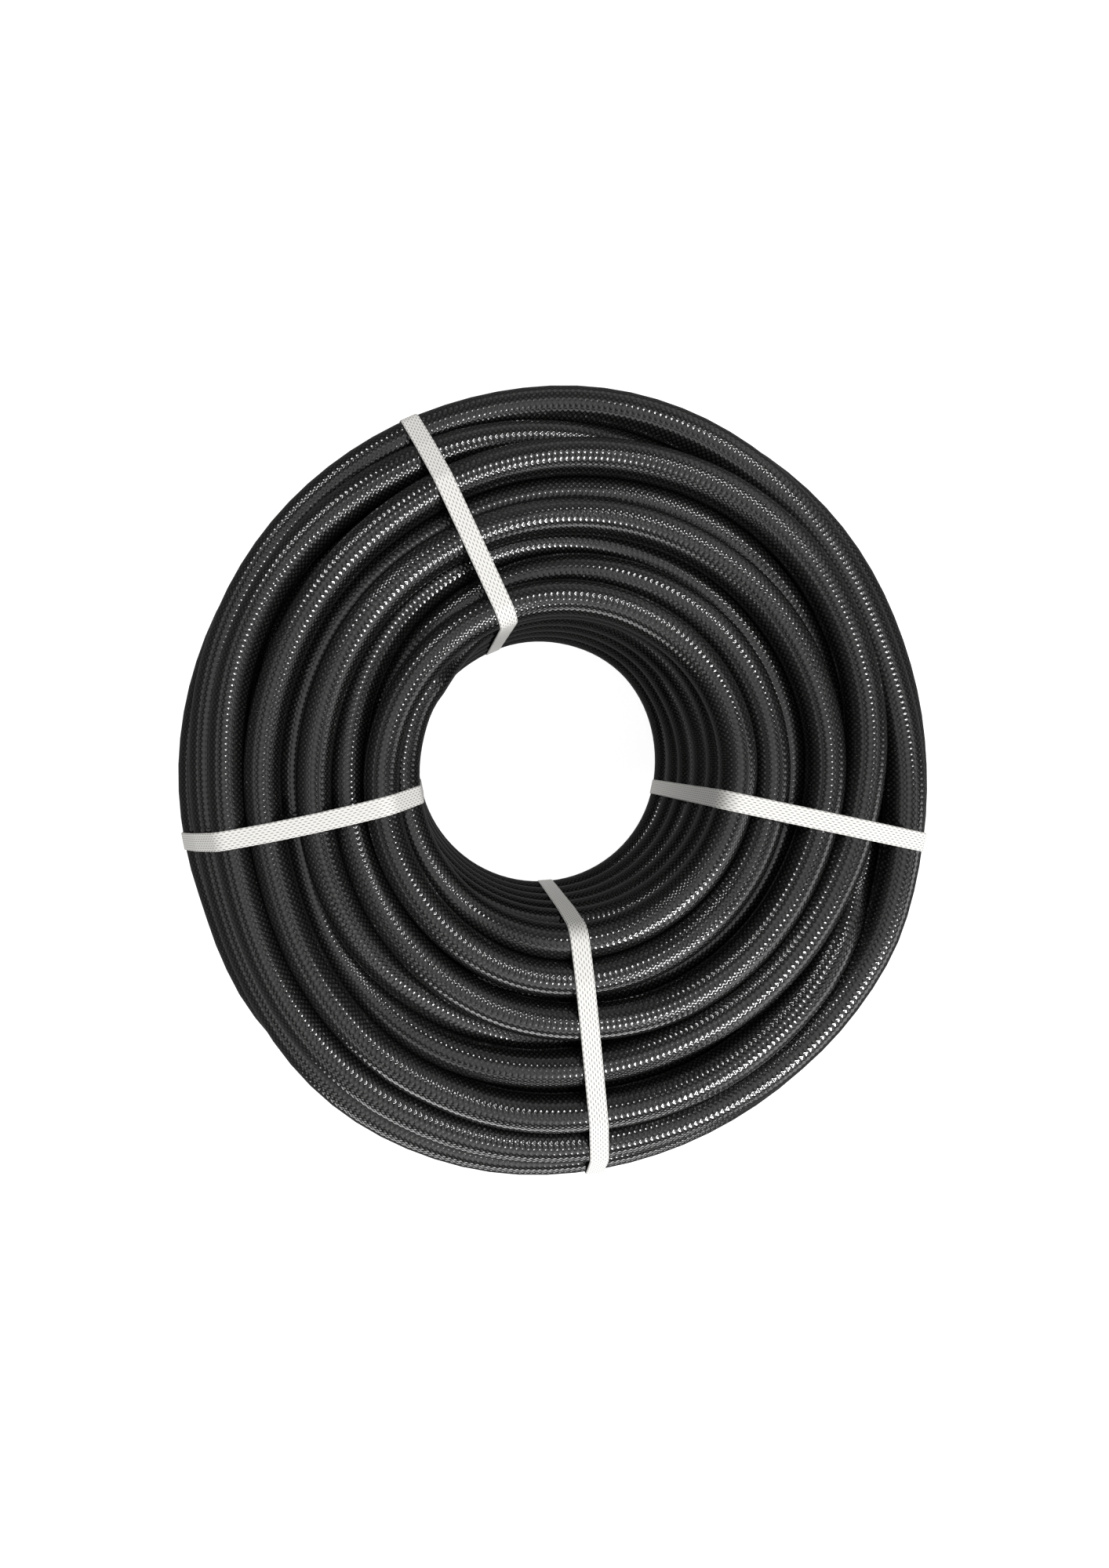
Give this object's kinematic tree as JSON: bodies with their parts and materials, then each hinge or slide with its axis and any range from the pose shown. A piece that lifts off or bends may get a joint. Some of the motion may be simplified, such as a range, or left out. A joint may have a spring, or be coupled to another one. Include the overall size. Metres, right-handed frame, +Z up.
{
  "type": "soft wash hose",
  "caption": "Black braided soft wash hose wound into a flat round coil with an open bore, lying on its side face and held by flat woven straps",
  "frame": {"origin": "at the centre of the outermost turns and at the straps' undersides, where the coil rests on a level floor", "axes": "+Z up, along the bore; +X to the right and +Y towards the top of the reference picture"},
  "size_m": [0.5466, 0.5679, 0.17],
  "materials": {
    "hose_black": "satin black soft PVC with a fine braid showing through as relief",
    "strap_white": "matte off-white woven polyester band"
  },
  "bodies": {
    "root": {"hose_coil": "hose_black", "strap_upper_left": "strap_white", "strap_left": "strap_white", "strap_bottom": "strap_white", "strap_right": "strap_white"}
  },
  "joints": []
}
